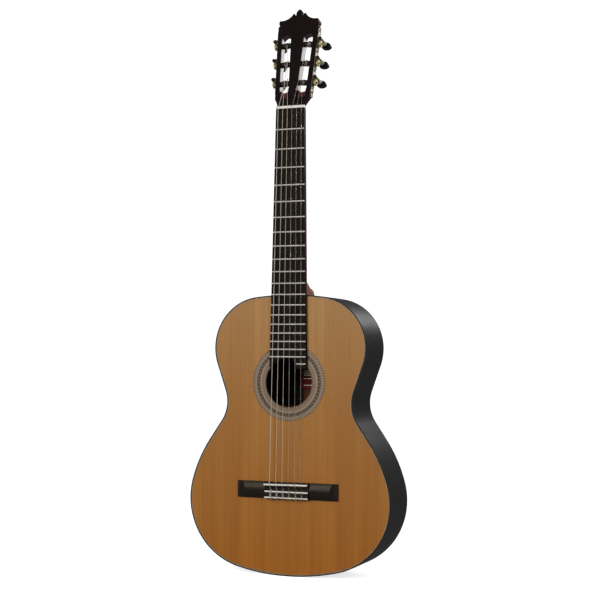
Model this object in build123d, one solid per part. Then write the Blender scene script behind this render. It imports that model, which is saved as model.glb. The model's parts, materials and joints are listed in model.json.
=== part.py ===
from build123d import *
import math
import os

# A classical guitar, standing upright with its face towards -Y and its treble side at +X.
# Millimetres. The origin is on the front of the fingerboard, at the nut, in the middle of the neck.
# Unless it says otherwise, a sketch is drawn as (x, z) and a depth is a value of y.

# ---- driving dimensions ----
SCALE = 650.0
FRET_COUNT = 19                # whole frets; a short one follows
FRET_INSET = 0.3
FRET_CROWN = (1.15, 1.05)      # half-width and height
FRET_TANG = (0.3, 1.6)         # half-width and depth
SHORT_FRET_START = 16.0
FRET_12 = -SCALE / 2
NUT_HALF = 26.5
BOARD_GROWTH = 0.0163          # half-width gained for each millimetre below the nut
BOARD = 6.5                    # fingerboard thickness, so the soundboard's face is at this depth
TONGUE_TIP = 24.0              # the fingerboard's end, above the middle of the hole
BODY_DEPTH = 98.5
TOP = 2.5                      # soundboard and back thickness
SIDE = 2.0
PURFLING = 1.5
LINING = 6.0
LINING_HEIGHT = 15.0
BINDING_HEIGHT = 5.5
HOLE_BELOW_BODY_EDGE = 152.5
HOLE_R = 43.0
ROSETTE_R = (45.5, 67.0)
ROSETTE_DEPTH = 1.2

# The body's outline: from the top centre, down the treble side, each step tangent to the last.
# Positive radii bulge outwards and negative ones are the waist; a radius of None is a straight.
OUTLINE = [
    (526.7, 6.8),
    (89.0, 102.5),
    (None, 48.9),
    (-59.5, 53.4),
    (None, 39.4),
    (237.8, 19.4),
    (120.3, 66.6),
    (123.7, 24.2),
]

BAR_BELOW = (92.0, 208.0)      # harmonic bars, measured down from the body's top edge
BAR = (7.0, 15.0)              # a bar's width and height
FAN_COUNT = 7
FAN_TOP_GAP = 15.0             # between struts below the hole, and at their lower ends
FAN_LOW_GAP = 40.0
FAN_TOP = -542.5
FAN_LOW = -742.0
FAN_RISE = 4.0                 # each strut further out ends this much higher
FAN = (4.5, 5.0)               # a strut's width and height
CLOSING_STRUT = (66.0, -757.0, 24.0, 118.0)           # middle x and z, lean and length
PATCH = (190.0, 34.0, 1.5)
BACK_BRACES = (75.0, 200.0, 300.0, 395.0)
BACK_BRACE = (8.0, 13.0)
STRIP = (16.0, 2.0)            # centre strip over the joint of the back
LABEL = (62.0, 48.0, 0.3)
LABEL_ABOVE_HOLE = 12.0        # the label's middle, above the middle of the hole
NECK_BLOCK = (74.0, 50.0)      # width, and length from the body's edge
TAIL_BLOCK = (80.0, 20.0)

NECK_AT_NUT = 15.0             # neck wood behind the fingerboard
NECK_AT_BODY = 18.0
NECK_ROUNDNESS = 2.05          # 2 makes the neck's back half an oval, and more makes it boxier
HEEL_CAP = 2.5
HEEL_FOOT = (9.5, 16.0)        # half-width at the cap, and reach above the body's edge
# The heel's sections from the neck back: depth below the board, half-width, reach up the neck.
HEEL = [(4.0, 31.3, 60.0), (14.0, 28.0, 52.0), (28.0, 23.0, 42.0), (50.0, 17.5, 33.0), (74.0, 13.0, 23.0)]

HEAD_TILT = 12.0
HEAD_DROP = 3.8                # the head's face lies this far behind the fingerboard's, at the nut
HEAD_START = 5.0
HEAD_START_HALF = 26.1
HEAD_FADE = 20.0               # length over which the neck's round back becomes the head's flat one
HEAD_THICK = 16.4
VENEER = 2.0
HEAD_HALF = 33.4               # half-width at the first roller
HEAD_FLARE = 2.48              # degrees that each side leans outwards
FIRST_ROLLER = 51.1
ROLLER_PITCH = 36.4
ROLLER_DEPTH = 8.2
RAIL = 7.6
SLOT_WIDTH = 17.2
SLOT_BELOW = 19.2              # slot length before the first roller's axis
SLOT_ABOVE = 90.8
RAMP_DEPTH = 5.5
RAMP_INSET = 0.8

ROLLER_R = 4.93
ROLLER_BORE_R = 5.0
PIN_R = 2.93
PIN_BORE_R = 3.0
PIN_LENGTH = 5.0
AXLE_R = 2.0
PLATE = 1.2
RUNNING = 0.07                 # radial clearance of an axle in its hole

TEETH = 14
GEAR_MODULE = 0.75
GEAR_WIDTH = 3.6
WORM_OUT = 5.7                 # worm axis and gear middle, out from the head's side
WORM_PITCH_R = 2.5
WORM_AXLE_R = 1.6
WORM_THREAD_TIP = 3.1
WORM_THREAD_ROOT = 1.75
EAR_DEPTHS = ((1.9, 3.1), (13.3, 14.5))
COLLAR = (3.3, 2.1)            # radius and length of the round collar in front of a worm's ears
BUTTON = (18.6, 12.2, 14.0)    # across, along the head and back
BUTTON_ROUND = 3.6
BUTTON_DEPTH = 35.6
PLATE_ENDS = (-25.2, 105.2)    # the plate's ends, along the head from the first roller
PLATE_EDGES = (1.4, 15.0)      # its edges, into the head from the veneer
SCREW_SPOTS = (-18.7, 22.4, 58.8, 98.4)
SCREW_R = 1.1
SCREW_LENGTH = 6.2
EAR_R = 3.4
TUNNEL = 0.8                   # half-width of the hole that a string goes through in its roller

STRING_R = (0.36, 0.42, 0.52, 0.38, 0.46, 0.56)       # string 1 (high) to string 6 (low)
STRING_GAP_NUT = 8.6
STRING_GAP_SADDLE = 11.5
NUT_REST = -1.5                # depth of the strings' underside at the nut
NUT_CREST = (2.3, 0.9)         # the nut's height above the board, at its front and towards the head
SADDLE_REST = -6.5

BRIDGE_HALF = 92.7
BRIDGE_TOP = -SCALE + 1.0
BRIDGE_TALL = 28.6
BLOCK_HALF = 40.0              # saddle and inlays; the block's wood is a little wider
BLOCK_WOOD_HALF = BLOCK_HALF + 0.6
BLOCK_HIGH = 9.0               # the block's top and the trough's floor, above the soundboard
TROUGH_HIGH = 4.0
WING_EDGE = 3.0                # a wing's height at its long edges, in its middle and at its end
WING_CROWN = 6.0
WING_END = 2.6
WING_SCOOP = 15.0              # length of the hollowed end
INLAY = (2.2, 1.6)             # an inlay's height up the face and its thickness
TIE_BEHIND = 15.5              # the tie block's front, below the bridge's top edge
TIE_HOLE_HIGH = 5.6
TIE_HOLE_R = 0.9
SADDLE_BELOW = 4.2             # the saddle's middle, below the bridge's top edge
SADDLE_THICK = 2.6
SADDLE_SLOT_HIGH = 4.5
SADDLE_LEAN = 0.7              # degrees

FACE = BOARD
BACK = FACE + BODY_DEPTH
INNER_FACE = FACE + TOP
INNER_BACK = BACK - TOP
HOLE_Z = FRET_12 - HOLE_BELOW_BODY_EDGE
EDGING = SIDE + PURFLING
GEAR_PITCH_R = GEAR_MODULE * TEETH / 2
GEAR_INSIDE = WORM_OUT - GEAR_WIDTH / 2
GEAR_OUTSIDE = WORM_OUT + GEAR_WIDTH / 2
WORM_ABOVE = GEAR_PITCH_R + WORM_PITCH_R
WORM_PITCH = math.pi * GEAR_MODULE
LABEL_Z = HOLE_Z + LABEL_ABOVE_HOLE
BRIDGE_LOW = BRIDGE_TOP - BRIDGE_TALL
TIE_FRONT = BRIDGE_TOP - TIE_BEHIND
TIE_HOLE = FACE - TIE_HOLE_HIGH
SADDLE_Z = BRIDGE_TOP - SADDLE_BELOW
SADDLE_SLOT = FACE - SADDLE_SLOT_HIGH


# ---- helpers ----
def slab(sketch, front, back):
    """A sketch drawn as (x, z), given thickness from depth front to depth back."""
    return extrude(Plane.XZ.offset(-front) * sketch, -(back - front))


def box(x, y, z):
    """A block from pairs of limits."""
    centre = ((x[0] + x[1]) / 2, (y[0] + y[1]) / 2, (z[0] + z[1]) / 2)
    return Pos(*centre) * Box(x[1] - x[0], y[1] - y[0], z[1] - z[0])


def rod(start, end, radius):
    """A round bar between two points."""
    start = Vector(*start)
    along = Vector(*end) - start
    return extrude(Plane(origin=start, z_dir=along) * Circle(radius), along.length)


def both_sides(part):
    """The part and its mirror image across the middle."""
    return part + mirror(part, Plane.YZ)


def half_board(z):
    return NUT_HALF - BOARD_GROWTH * z


def region(inset):
    """The body's outline, moved inwards by inset, as a face."""
    edges = []
    point = Vector(0, FRET_12 - inset)
    heading = Vector(1, 0)
    turned = 0.0
    for radius, amount in OUTLINE:
        if radius is None:
            edge = Line(point, point + heading * amount)
        elif radius > 0:
            edge = JernArc(point, heading, radius - inset, -amount)
            turned += amount
        else:
            edge = JernArc(point, heading, -radius + inset, amount)
            turned -= amount
        edges.append(edge)
        point = edge @ 1
        heading = edge % 1
    closing = point.X / math.sin(math.radians(turned))
    edges.append(JernArc(point, heading, closing, -(180.0 - turned)))
    right = Curve() + edges
    return make_face(right + mirror(right, Plane.YZ))


def ring(outer, inner):
    return region(outer) - region(inner)


# ---- sound box ----
BODY = slab(region(0), FACE, BACK)
BODY_BOTTOM = BODY.bounding_box().min.Z
hole = Pos(0, HOLE_Z) * Circle(HOLE_R)
rosette_ring = Pos(0, HOLE_Z) * (Circle(ROSETTE_R[1]) - Circle(ROSETTE_R[0]))


def make_soundboard():
    plate = slab(region(EDGING) - hole, FACE, INNER_FACE)
    return plate - slab(rosette_ring, FACE, FACE + ROSETTE_DEPTH)


def make_rosette():
    return slab(rosette_ring, FACE, FACE + ROSETTE_DEPTH)


def make_side(sign):
    half = Pos(sign * 250, -SCALE) * Rectangle(500, 1200)
    return slab(ring(0, SIDE) & half, FACE + BINDING_HEIGHT, BACK - BINDING_HEIGHT)


def make_bindings():
    face = slab(ring(0, SIDE), FACE, FACE + BINDING_HEIGHT)
    back = slab(ring(0, SIDE), BACK - BINDING_HEIGHT, BACK)
    return face + back


def make_purfling():
    return slab(ring(SIDE, EDGING), FACE, INNER_FACE)


def neck_block_sketch():
    wide, long = NECK_BLOCK
    return region(SIDE) & (Pos(0, FRET_12) * Rectangle(wide, 2 * long))


def tail_block_sketch():
    wide, long = TAIL_BLOCK
    return region(SIDE) & (Pos(0, BODY_BOTTOM) * Rectangle(wide, 2 * long))


def make_neck_block():
    return slab(neck_block_sketch(), INNER_FACE, INNER_BACK)


def make_tail_block():
    return slab(tail_block_sketch(), INNER_FACE, INNER_BACK)


def make_linings(front, back):
    strip = ring(SIDE, SIDE + LINING) - neck_block_sketch() - tail_block_sketch()
    return slab(strip, front, back)


def cross_bar(below, width, front, back):
    """A straight bar from lining to lining, at a distance below the body's top edge."""
    strip = Pos(0, FRET_12 - below) * Rectangle(400, width)
    return slab(region(SIDE + LINING) & strip, front, back)


def make_harmonic_bars():
    wide, tall = BAR
    return [cross_bar(below, wide, INNER_FACE, INNER_FACE + tall) for below in BAR_BELOW]


def make_fan_braces():
    """Seven struts that fan out below the hole, and two that close them at the tail."""
    wide, tall = FAN
    patch = make_bridge_patch()
    struts = []
    for place in range(FAN_COUNT):
        step = place - FAN_COUNT // 2
        top = Vector(FAN_TOP_GAP * step, FAN_TOP)
        low = Vector(FAN_LOW_GAP * step, FAN_LOW + FAN_RISE * abs(step))
        middle = (top + low) / 2
        lean = math.degrees(math.atan2(low.X - top.X, top.Y - low.Y))
        sketch = Pos(middle.X, middle.Y) * Rot(0, 0, lean) * Rectangle(wide, (top - low).length)
        struts.append(slab(sketch, INNER_FACE, INNER_FACE + tall))
    x, z, lean, length = CLOSING_STRUT
    for sign in (-1, 1):
        sketch = Pos(sign * x, z) * Rot(0, 0, sign * lean) * Rectangle(length, wide)
        struts.append(slab(sketch, INNER_FACE, INNER_FACE + tall))
    joined = struts[0]
    for strut in struts[1:]:
        joined += strut
    return joined - patch


def make_bridge_patch():
    wide, tall, thick = PATCH
    patch = Pos(0, (BRIDGE_TOP + BRIDGE_LOW) / 2) * Rectangle(wide, tall)
    return slab(patch, INNER_FACE, INNER_FACE + thick)


def make_back_braces():
    wide, tall = BACK_BRACE
    return [cross_bar(below, wide, INNER_BACK - tall, INNER_BACK) for below in BACK_BRACES]


def make_back_strip():
    """A strip between the braces, left out where the label is."""
    wide, thick = STRIP
    inside = region(SIDE) - neck_block_sketch() - tail_block_sketch()
    middle = Pos(0, -SCALE) * Rectangle(wide, 2 * SCALE)
    clear_of_label = Pos(0, LABEL_Z) * Rectangle(LABEL[0], LABEL[1] + 2)
    strip = slab((inside & middle) - clear_of_label, INNER_BACK - thick, INNER_BACK)
    for brace in make_back_braces():
        strip -= brace
    return strip


def make_label():
    wide, tall, thick = LABEL
    return slab(Pos(0, LABEL_Z) * Rectangle(wide, tall), INNER_BACK - thick, INNER_BACK)


# ---- neck ----
def back_curve(half, thick, squareness, count=12):
    """A flat front from -half to half, and a back that is an oval or, squarer, nearly a box."""
    power = 2.0 / squareness
    points = []
    for step in range(count + 1):
        angle = math.pi * step / count
        across = math.cos(angle)
        x = half * math.copysign(abs(across) ** power, across)
        points.append((x, thick * abs(math.sin(angle)) ** power))
    points[0] = (half, 0.0)
    points[-1] = (-half, 0.0)
    return points


def neck_section(z, half, thick, squareness):
    """A section across the neck at height z, behind the fingerboard."""
    plane = Plane(origin=(0, BOARD, z), x_dir=(1, 0, 0), z_dir=(0, 0, 1))
    points = back_curve(half, thick, squareness)
    flat = Line(points[-1], points[0])
    return plane * make_face(Curve() + [Spline(*points), flat])


def heel_section(depth, half, reach):
    """A section of the heel at one depth."""
    return Plane.XZ.offset(-depth) * heel_outline(half, reach)


def head_half_space(above):
    """Everything on the tip side of the joint between neck and head, or on its other side."""
    limits = (HEAD_START, HEAD_START + 400) if above else (HEAD_START - 400, HEAD_START)
    return Rot(-HEAD_TILT, 0, 0) * box((-200, 200), (-200, 200), limits)


def make_neck():
    half_12 = half_board(FRET_12)
    middle = (NECK_AT_NUT + NECK_AT_BODY) / 2
    shaft = loft([
        neck_section(FRET_12 - 3, half_12, NECK_AT_BODY, NECK_ROUNDNESS),
        neck_section(FRET_12 / 2, half_board(FRET_12 / 2), middle, NECK_ROUNDNESS),
        neck_section(HEAD_START + 5, NUT_HALF, NECK_AT_NUT, NECK_ROUNDNESS),
    ])
    sections = [heel_section(BOARD + depth, half, reach) for depth, half, reach in HEEL]
    sections.append(heel_section(BACK - HEEL_CAP, *HEEL_FOOT))
    neck = shaft + loft(sections)
    return (neck - BODY) & head_half_space(False)


def make_heel_cap():
    return slab(heel_outline(*HEEL_FOOT), BACK - HEEL_CAP, BACK) - BODY


def heel_outline(half, reach):
    """The heel seen from behind: flat at the body, rounded towards the nut."""
    foot = FRET_12 - 3.0
    arch = [(half, foot)]
    for step in range(1, 8):
        angle = math.pi * step / 8
        arch.append((half * math.cos(angle), foot + 3.0 + reach * math.sin(angle) ** 0.8))
    arch.append((-half, foot))
    return make_face(Curve() + [Spline(*arch), Line(arch[-1], arch[0])])


def fret_z(number):
    return -SCALE * (1 - 2 ** (-number / 12))


def fret_ends(number):
    half = half_board(fret_z(number)) - FRET_INSET
    if number > FRET_COUNT:
        return (SHORT_FRET_START, half)
    return (-half, half)


def make_frets():
    """Nineteen whole frets and a short twentieth, each a rounded crown on a thin tang."""
    half, high = FRET_CROWN
    arch = ThreePointArc((-half, 0), (0, high), (half, 0))
    crown = make_face(Curve() + [arch, Line((half, 0), (-half, 0))])
    frets = []
    for number in range(1, FRET_COUNT + 2):
        start, end = fret_ends(number)
        plane = Plane(origin=(start, 0, fret_z(number)), x_dir=(0, 0, 1), z_dir=(1, 0, 0))
        frets.append(extrude(plane * crown, end - start) + fret_tang(number))
    return frets


def fret_tang(number):
    start, end = fret_ends(number)
    half, deep = FRET_TANG
    z = fret_z(number)
    return box((start, end), (0, deep), (z - half, z + half))


def make_fingerboard():
    """A tapered board whose end follows the soundhole, with a tongue for the short fret."""
    tip = HOLE_Z + TONGUE_TIP
    half = half_board(tip)
    taper = Polyline((-NUT_HALF, 0), (NUT_HALF, 0), (half, tip), (-half, tip), close=True)
    board = make_face(taper) - hole
    tongue = Polyline(
        (4.0, tip + 20.0), (5.5, tip + 18.0), (15.0, tip + 9.0), (15.6, tip),
        (half, tip), (half, tip + 20.0), close=True,
    )
    board = slab(board + make_face(tongue), 0, BOARD)
    for number in range(1, FRET_COUNT + 2):
        board -= fret_tang(number)
    return board


def make_nut(strings):
    """The nut's upper face leans with the head, and each string lies in its own notch."""
    tilt = math.radians(HEAD_TILT)
    top_y = HEAD_START * math.sin(tilt)
    top_z = HEAD_START * math.cos(tilt)
    low_z = top_z - (BOARD - top_y) * math.tan(tilt)
    crest, slope = NUT_CREST
    side = Polyline(
        (0, -BOARD), (0, crest), (1.0, crest + 0.1), (top_z - 0.8, slope), (top_z, 0.0),
        (top_z, -top_y), (low_z, -BOARD), close=True,
    )
    plane = Plane(origin=(-NUT_HALF, 0, 0), x_dir=(0, 0, 1), z_dir=(1, 0, 0))
    nut = extrude(plane * make_face(side), 2 * NUT_HALF)
    for string in strings:
        nut -= string
    return nut


# ---- bridge ----
def make_bridge():
    """A plate with thin, hollowed wings, a saddle block, a trough and a tie block."""
    arch = ThreePointArc(
        (BRIDGE_TOP, WING_EDGE), ((BRIDGE_TOP + BRIDGE_LOW) / 2, WING_CROWN), (BRIDGE_LOW, WING_EDGE)
    )
    base = Polyline((BRIDGE_LOW, WING_EDGE), (BRIDGE_LOW, 0), (BRIDGE_TOP, 0), (BRIDGE_TOP, WING_EDGE))
    profile = make_face(Curve() + [arch, base])
    wings = extrude(along_bridge(BRIDGE_HALF) * profile, 2 * BRIDGE_HALF)
    middle = box((-BLOCK_WOOD_HALF, BLOCK_WOOD_HALF), (FACE - 12, FACE), (BRIDGE_LOW, BRIDGE_TOP))
    bridge = (wings & both_sides(wing_envelope())) - middle
    steps = Polyline(
        (BRIDGE_TOP, 0), (BRIDGE_TOP, 7.6), (BRIDGE_TOP - 1.4, BLOCK_HIGH),
        (BRIDGE_TOP - 8.5, BLOCK_HIGH), (BRIDGE_TOP - 10.5, TROUGH_HIGH), (TIE_FRONT, TROUGH_HIGH),
        (TIE_FRONT, BLOCK_HIGH), (BRIDGE_LOW + 0.6, BLOCK_HIGH), (BRIDGE_LOW, 8.4), (BRIDGE_LOW, 0),
        close=True,
    )
    bridge += extrude(along_bridge(BLOCK_WOOD_HALF) * make_face(steps), 2 * BLOCK_WOOD_HALF)
    bridge -= saddle_block(SADDLE_SLOT)
    for inlay in inlay_blocks():
        bridge -= inlay
    for number in range(6):
        x = string_x(number, STRING_GAP_SADDLE)
        bridge -= rod((x, TIE_HOLE, BRIDGE_LOW - 1), (x, TIE_HOLE, TIE_FRONT + 1), TIE_HOLE_R)
    return bridge


def along_bridge(half):
    """A plane at the bridge's bass side to draw (z, height above the soundboard) on."""
    return Plane(origin=(-half, FACE, 0), x_dir=(0, 0, 1), z_dir=(1, 0, 0))


def wing_envelope():
    """One wing seen from its long edge: level, with its end scooped down to a thin edge."""
    start = BRIDGE_HALF - WING_SCOOP
    high = WING_CROWN + 0.5
    outline = Curve() + [
        Line((0, 0), (BRIDGE_HALF, 0)),
        Line((BRIDGE_HALF, 0), (BRIDGE_HALF, -WING_END)),
        ThreePointArc((BRIDGE_HALF, -WING_END), (start + 6, -WING_END - 0.9), (start, -high)),
        Line((start, -high), (0, -high)),
        Line((0, -high), (0, 0)),
    ]
    across = Plane(origin=(0, FACE, BRIDGE_LOW), x_dir=(1, 0, 0), z_dir=(0, 0, 1))
    return extrude(across * make_face(outline), BRIDGE_TALL)


def saddle_block(bottom):
    saddle = box((-BLOCK_HALF, BLOCK_HALF), (SADDLE_REST, bottom), (-SADDLE_THICK / 2, SADDLE_THICK / 2))
    return Pos(0, 0, SADDLE_Z) * Rot(0, -SADDLE_LEAN, 0) * saddle


def make_saddle(strings):
    saddle = saddle_block(SADDLE_SLOT)
    for string in strings:
        saddle -= string
    return saddle


def inlay_blocks():
    """Two strips let into the edges of the tie block."""
    top = FACE - BLOCK_HIGH
    tall, thick = INLAY
    edges = [(TIE_FRONT - tall, TIE_FRONT), (BRIDGE_LOW + 0.6, BRIDGE_LOW + 0.6 + tall)]
    return [box((-BLOCK_HALF, BLOCK_HALF), (top, top + thick), edge) for edge in edges]


# ---- strings ----
def string_x(number, gap):
    """Where a string lies across the neck; number 0 is the high string, on the treble side."""
    return gap * (2.5 - number)


def roller_height(number):
    """Distance along the head of the roller that a string winds on."""
    from_outside = number if number < 3 else 5 - number
    return FIRST_ROLLER + ROLLER_PITCH * from_outside


def on_head(x, depth, height):
    """A point given in the head's own axes: across, into the head, and along it from the nut."""
    tilt = math.radians(HEAD_TILT)
    depth += HEAD_DROP
    y = depth * math.cos(tilt) + height * math.sin(tilt)
    z = height * math.cos(tilt) - depth * math.sin(tilt)
    return (x, y, z)


def side_x(height):
    """The head's half-width at a height along it."""
    return HEAD_HALF + (height - FIRST_ROLLER) * math.tan(math.radians(HEAD_FLARE))


def string_end_x(number):
    """A string meets its roller a little inside the middle of the slot."""
    sign = 1 if number < 3 else -1
    return sign * (side_x(roller_height(number)) - RAIL - SLOT_WIDTH * 0.55)


def make_string(number):
    """Through the tie block, over the saddle, along the neck, over the nut and down to the roller."""
    radius = STRING_R[number]
    x_saddle = string_x(number, STRING_GAP_SADDLE)
    saddle_z = SADDLE_Z - SADDLE_THICK / 2 + x_saddle * math.sin(math.radians(SADDLE_LEAN))
    height = roller_height(number)
    clear = ROLLER_DEPTH - ROLLER_R - radius - 0.2
    path = [
        (x_saddle, TIE_HOLE, BRIDGE_LOW - 1.0),
        (x_saddle, TIE_HOLE, TIE_FRONT + 1.5),
        (x_saddle, SADDLE_REST - radius, saddle_z),
        (string_x(number, STRING_GAP_NUT), NUT_REST - radius, 0.3),
        on_head(string_end_x(number), clear, height - 0.5),
    ]
    string = rod(path[0], path[1], radius)
    for start, end in zip(path[1:], path[2:]):
        string += Pos(*start) * Sphere(radius)
        string += rod(start, end, radius)
    return string


# ---- head ----
def tuner_place(sign):
    """The place of one side's tuners: x out of the head's side, y into it, z along it."""
    tilt = Rot(-HEAD_TILT, 0, 0)
    return tilt * Pos(sign * HEAD_HALF, HEAD_DROP, FIRST_ROLLER) * Rot(0, sign * HEAD_FLARE, 0)


def in_place(part, sign):
    """A tuner piece drawn for the treble side, put on either side."""
    placed = tuner_place(1) * part
    return placed if sign > 0 else mirror(placed, Plane.YZ)


def head_outline():
    """One half: a flare, a straight leaning side, a notch, an ear and a sweep up to a small dome."""
    flare_end = 22.0
    side_end = 156.3
    lean = math.sin(math.radians(HEAD_FLARE))
    flare = Spline(
        (HEAD_START_HALF, HEAD_START), (27.6, 11.3), (30.2, 16.6), (side_x(flare_end), flare_end),
        tangents=[(0.05, 1), (lean, 1)],
    )
    return make_face(Curve() + [
        flare,
        Line((side_x(flare_end), flare_end), (side_x(side_end), side_end)),
        ThreePointArc((side_x(side_end), side_end), (side_x(side_end) - 0.95, 159.2), (35.2, 160.4)),
        ThreePointArc((35.2, 160.4), (36.8, 162.9), (37.2, 167.0)),
        ThreePointArc((37.2, 167.0), (36.3, 169.8), (33.5, 170.4)),
        ThreePointArc((33.5, 170.4), (21.4, 173.0), (12.2, 181.2)),
        ThreePointArc((12.2, 181.2), (10.6, 183.0), (9.1, 181.2)),
        Line((9.1, 181.2), (7.5, 178.2)),
        Line((7.5, 178.2), (6.0, 179.6)),
        ThreePointArc((6.0, 179.6), (4.9, 186.2), (0, 190.5)),
        Line((0, 190.5), (0, HEAD_START)),
        Line((0, HEAD_START), (HEAD_START_HALF, HEAD_START)),
    ])


def slot_cut():
    """One string slot, with the ramp that lets the strings down into it."""
    bottom = -SLOT_BELOW
    top = SLOT_ABOVE
    middle = -(RAIL + SLOT_WIDTH / 2)
    stadium = Pos(middle, (bottom + top) / 2) * Rot(0, 0, 90) * SlotOverall(top - bottom, SLOT_WIDTH)
    slot = slab(stadium, -5, HEAD_THICK + 5)
    start = bottom - 21
    end = bottom + 9
    wedge = Polyline((start, 0), (end, -RAMP_DEPTH), (end, 3), (start, 3), close=True)
    inner = -RAIL - SLOT_WIDTH + RAMP_INSET
    plane = Plane(origin=(inner, 0, 0), x_dir=(0, 0, 1), z_dir=(1, 0, 0))
    return slot + extrude(plane * make_face(wedge), SLOT_WIDTH - 2 * RAMP_INSET)


def roller_holes():
    """Bores for three rollers through the rail, and for their pins in the middle bar."""
    holes = None
    for step in range(3):
        z = step * ROLLER_PITCH
        far = -(RAIL + SLOT_WIDTH)
        bore = rod((-RAIL - 2, ROLLER_DEPTH, z), (2, ROLLER_DEPTH, z), ROLLER_BORE_R)
        pin = rod((far + 2, ROLLER_DEPTH, z), (far - PIN_LENGTH - 0.3, ROLLER_DEPTH, z), PIN_BORE_R)
        holes = bore + pin if holes is None else holes + bore + pin
    return holes


def screw_shank(along):
    return rod((-SCREW_LENGTH, ROLLER_DEPTH, along), (PLATE, ROLLER_DEPTH, along), SCREW_R)


def make_head(front, back, full_depth):
    """The head's core or its veneer, between two depths."""
    flat = both_sides(slab(head_outline(), front, back))
    if full_depth:
        fade_end = HEAD_START + HEAD_FADE
        fade = loft([
            fade_section(HEAD_START, HEAD_START_HALF, NECK_ROUNDNESS),
            fade_section(fade_end, side_x(fade_end) + 0.5, 9.0),
        ])
        near = box((-60, 60), (-5, 60), (HEAD_START, fade_end))
        flat = (flat - near) + (flat & fade)
    head = Rot(-HEAD_TILT, 0, 0) * Pos(0, HEAD_DROP, 0) * flat
    for sign in (-1, 1):
        head -= in_place(slot_cut(), sign)
        head -= in_place(roller_holes(), sign)
        for along in SCREW_SPOTS:
            head -= in_place(screw_shank(along), sign)
    return head


def fade_section(height, half, squareness):
    """Across the head at one height, where the neck's round back turns into the head's flat one."""
    plane = Plane(origin=(0, 0, height), x_dir=(1, 0, 0), z_dir=(0, 0, 1))
    points = back_curve(half, HEAD_THICK, squareness)
    return plane * make_face(Curve() + [Spline(*points), Line(points[-1], points[0])])


# ---- tuning machines: drawn for the treble side, from the first roller's axis ----
def make_plate():
    """A brass plate with lobed ends, three roller holes and an ear each side of every worm."""
    front, rear = PLATE_EDGES
    low, high = PLATE_ENDS
    outline = Curve() + [Line((front, low + 6), (front, high - 6))]
    outline += plate_lobe(high, 1)
    outline += [Line((rear, high - 6), (rear, low + 6))]
    outline += plate_lobe(low, -1)
    plate = extrude(Plane.YZ * make_face(outline), PLATE)
    for step in range(3):
        z = step * ROLLER_PITCH
        plate -= rod((-1, ROLLER_DEPTH, z), (PLATE + 1, ROLLER_DEPTH, z), AXLE_R + RUNNING)
        for ear_front, ear_rear in EAR_DEPTHS:
            plate += worm_ear(z + WORM_ABOVE, ear_front, ear_rear)
    for along in SCREW_SPOTS:
        plate -= screw_shank(along)
    return plate


def plate_lobe(end, way):
    """The plate's end: a round lobe between two shoulders. Way is 1 at the top and -1 below."""
    front, rear = PLATE_EDGES
    middle = (front + rear) / 2
    shoulder = end - 6 * way
    root = end - 1.5 * way
    return [
        ThreePointArc((front, shoulder), (front + 2.2, end - 4.2 * way), (front + 3, root)),
        ThreePointArc((front + 3, root), (middle, end + 2.5 * way), (rear - 3, root)),
        ThreePointArc((rear - 3, root), (rear - 2.2, end - 4.2 * way), (rear, shoulder)),
    ]


def worm_ear(z, front, rear):
    """An ear that stands out from the plate and carries the worm's axle."""
    wall = box((PLATE - 0.2, WORM_OUT), (front, rear), (z - EAR_R, z + EAR_R))
    wall += rod((WORM_OUT, front, z), (WORM_OUT, rear, z), EAR_R)
    return wall - rod((WORM_OUT, front - 1, z), (WORM_OUT, rear + 1, z), WORM_AXLE_R + RUNNING)


def make_plate_screws():
    """Eight round-headed wood screws, four in each plate."""
    screws = []
    for sign in (-1, 1):
        for along in SCREW_SPOTS:
            dome = Pos(PLATE, ROLLER_DEPTH, along) * Rot(0, 90, 0) * screw_dome()
            screws.append(in_place(screw_shank(along) + dome, sign))
    return screws


def screw_dome():
    """A domed, slotted head on the XY plane."""
    profile = make_face(Curve() + [
        Line((0, 0), (1.9, 0)),
        ThreePointArc((1.9, 0), (1.35, 0.85), (0, 1.15)),
        Line((0, 1.15), (0, 0)),
    ])
    dome = revolve(Plane.XZ * profile, Axis.Z)
    return dome - Pos(0, 0, 1.1) * Box(0.5, 6, 0.9)


def make_roller(z):
    """A drum across the slot with a pin in the middle bar and an axle out through the plate."""
    far = -(RAIL + SLOT_WIDTH)
    roller = rod((far + 0.3, ROLLER_DEPTH, z), (-0.1, ROLLER_DEPTH, z), ROLLER_R)
    roller += rod((far - PIN_LENGTH, ROLLER_DEPTH, z), (far + 0.4, ROLLER_DEPTH, z), PIN_R)
    roller += rod((-0.2, ROLLER_DEPTH, z), (GEAR_OUTSIDE, ROLLER_DEPTH, z), AXLE_R)
    middle = far + SLOT_WIDTH * 0.45
    return roller - rod((middle, ROLLER_DEPTH, z - 9), (middle, ROLLER_DEPTH, z + 9), TUNNEL)


def gear_tooth_space():
    """The gap between two teeth, drawn at the top of the gear and wider than the worm's thread."""
    root = GEAR_PITCH_R - 1.25 * GEAR_MODULE
    tip = GEAR_PITCH_R + 1.0 * GEAR_MODULE + 0.5
    return make_face(Polyline((-0.62, root), (0.62, root), (1.12, tip), (-1.12, tip), close=True))


def make_gear(z):
    """The cog on the roller's axle, with the screw that holds it."""
    disc = Circle(GEAR_PITCH_R + GEAR_MODULE) - Circle(AXLE_R)
    for tooth in range(TEETH):
        disc -= Rot(0, 0, 360.0 * tooth / TEETH) * gear_tooth_space()
    plane = Plane(origin=(GEAR_INSIDE, ROLLER_DEPTH, z), x_dir=(0, 1, 0), z_dir=(1, 0, 0))
    cog = extrude(plane * disc, GEAR_WIDTH)
    boss = rod((PLATE + 0.1, ROLLER_DEPTH, z), (GEAR_INSIDE, ROLLER_DEPTH, z), 3.2)
    boss -= rod((PLATE, ROLLER_DEPTH, z), (GEAR_INSIDE, ROLLER_DEPTH, z), AXLE_R)
    dome = Pos(GEAR_OUTSIDE, ROLLER_DEPTH, z) * Rot(0, 90, 0) * scale(screw_dome(), 1.5)
    return [cog + boss, dome]


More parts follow.
